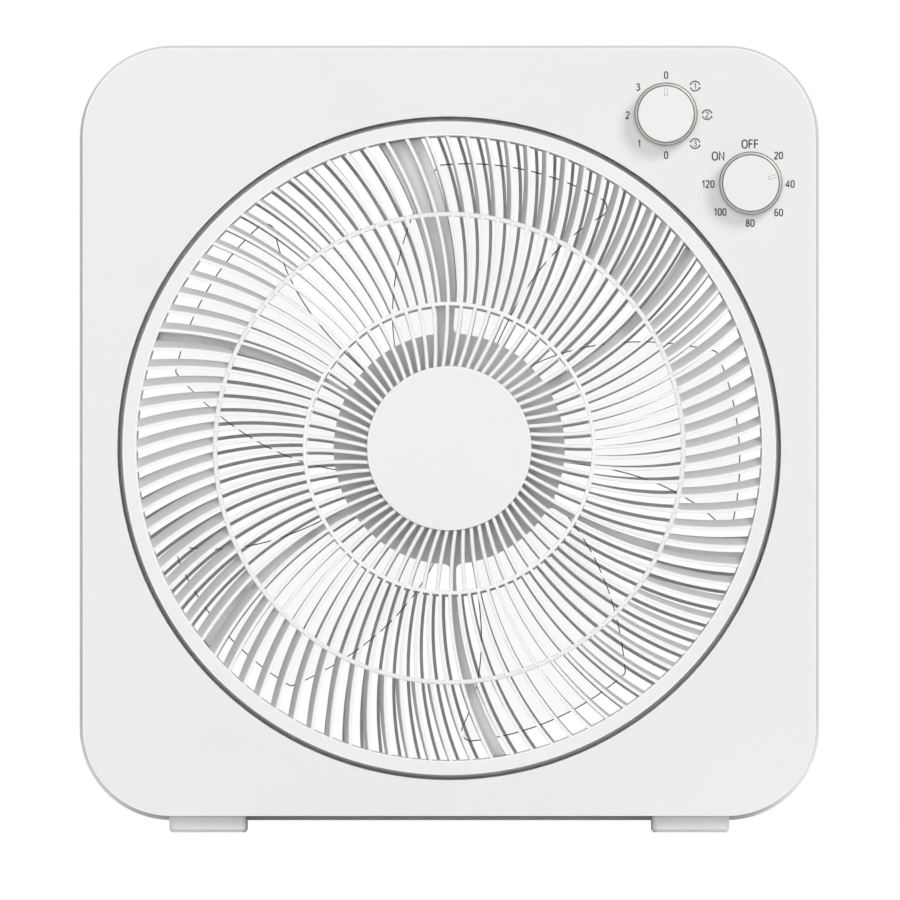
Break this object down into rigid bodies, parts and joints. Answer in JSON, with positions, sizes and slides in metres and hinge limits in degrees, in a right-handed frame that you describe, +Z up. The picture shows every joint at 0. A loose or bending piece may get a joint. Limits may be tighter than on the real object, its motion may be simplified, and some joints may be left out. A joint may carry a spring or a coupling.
{
  "type": "box fan",
  "caption": "Floor-standing box fan: rounded square casing on two feet, round louvre that turns slowly, clear twisted blades, a speed knob and a timer knob.",
  "frame": {"origin": "on the floor, under the middle of the fan's overall box", "axes": "+Z up, -Y out of the front where the air leaves, +X to the right as seen from the front"},
  "size_m": [0.365, 0.136, 0.3885],
  "materials": {
    "casing_front": "fine satin moulding",
    "casing_rear": "fine satin moulding",
    "foot": "fine satin moulding",
    "guard": "fine satin moulding",
    "louvre": "smooth moulding",
    "louvre_cap": "smooth moulding",
    "bracket": "satin moulding",
    "clear_plastic": "clear, polished",
    "dark_plastic": "fine matt",
    "knob": "smooth moulding",
    "knob_ring": "satin, warm grey",
    "motor_can": "zinc plated sheet",
    "motor_cover": "die cast",
    "laminations": "stacked sheet, varnished",
    "winding": "enamelled copper wire",
    "bronze": "sintered",
    "steel": "zinc plated",
    "rubber": "matt"
  },
  "bodies": {
    "housing": {"front_shell": "casing_front", "rear_shell": "casing_rear", "air_duct": "casing_rear", "left_foot": "foot", "right_foot": "foot", "foot_screws": "steel", "rear_guard": "guard", "louvre_bracket": "bracket", "louvre_motor": "motor_can", "louvre_motor_screws": "steel", "motor_front_cover": "motor_cover", "motor_rear_cover": "motor_cover", "motor_front_bush": "bronze", "motor_rear_bush": "bronze", "motor_stator": "laminations", "motor_windings": "winding", "motor_bolts": "steel", "motor_nuts": "steel", "speed_switch": "dark_plastic", "timer_unit": "motor_can", "run_capacitor": "dark_plastic", "cable_bush": "rubber", "control_screws": "steel", "case_screws": "steel", "bracket_screws": "steel", "guard_screws": "steel"},
    "wheel": {"fan_wheel": "clear_plastic", "wheel_nut": "dark_plastic", "motor_rotor": "laminations", "motor_shaft": "steel", "wheel_pin": "steel"},
    "louvre": {"louvre_grille": "louvre", "louvre_cap": "louvre_cap", "louvre_shaft": "steel", "louvre_screw": "steel"},
    "speed_dial": {"speed_spindle": "dark_plastic", "speed_knob": "knob", "speed_knob_ring": "knob_ring"},
    "timer_dial": {"timer_spindle": "steel", "timer_knob": "knob", "timer_knob_ring": "knob_ring"}
  },
  "joints": [
    {"name": "wheel_spin", "type": "hinge", "parent": "housing", "child": "wheel", "pos_m": [0, 0, 0.1892], "axis": [0, -1, 0], "continuous": true},
    {"name": "louvre_spin", "type": "hinge", "parent": "housing", "child": "louvre", "pos_m": [0, -0.047, 0.1892], "axis": [0, -1, 0], "continuous": true},
    {"name": "speed_turn", "type": "hinge", "parent": "housing", "child": "speed_dial", "pos_m": [0.1067, -0.06, 0.3535], "axis": [0, 1, 0], "continuous": true},
    {"name": "timer_turn", "type": "hinge", "parent": "housing", "child": "timer_dial", "pos_m": [0.1485, -0.06, 0.3195], "axis": [0, 1, 0], "range_deg": [-119.5, 195.5]}
  ]
}
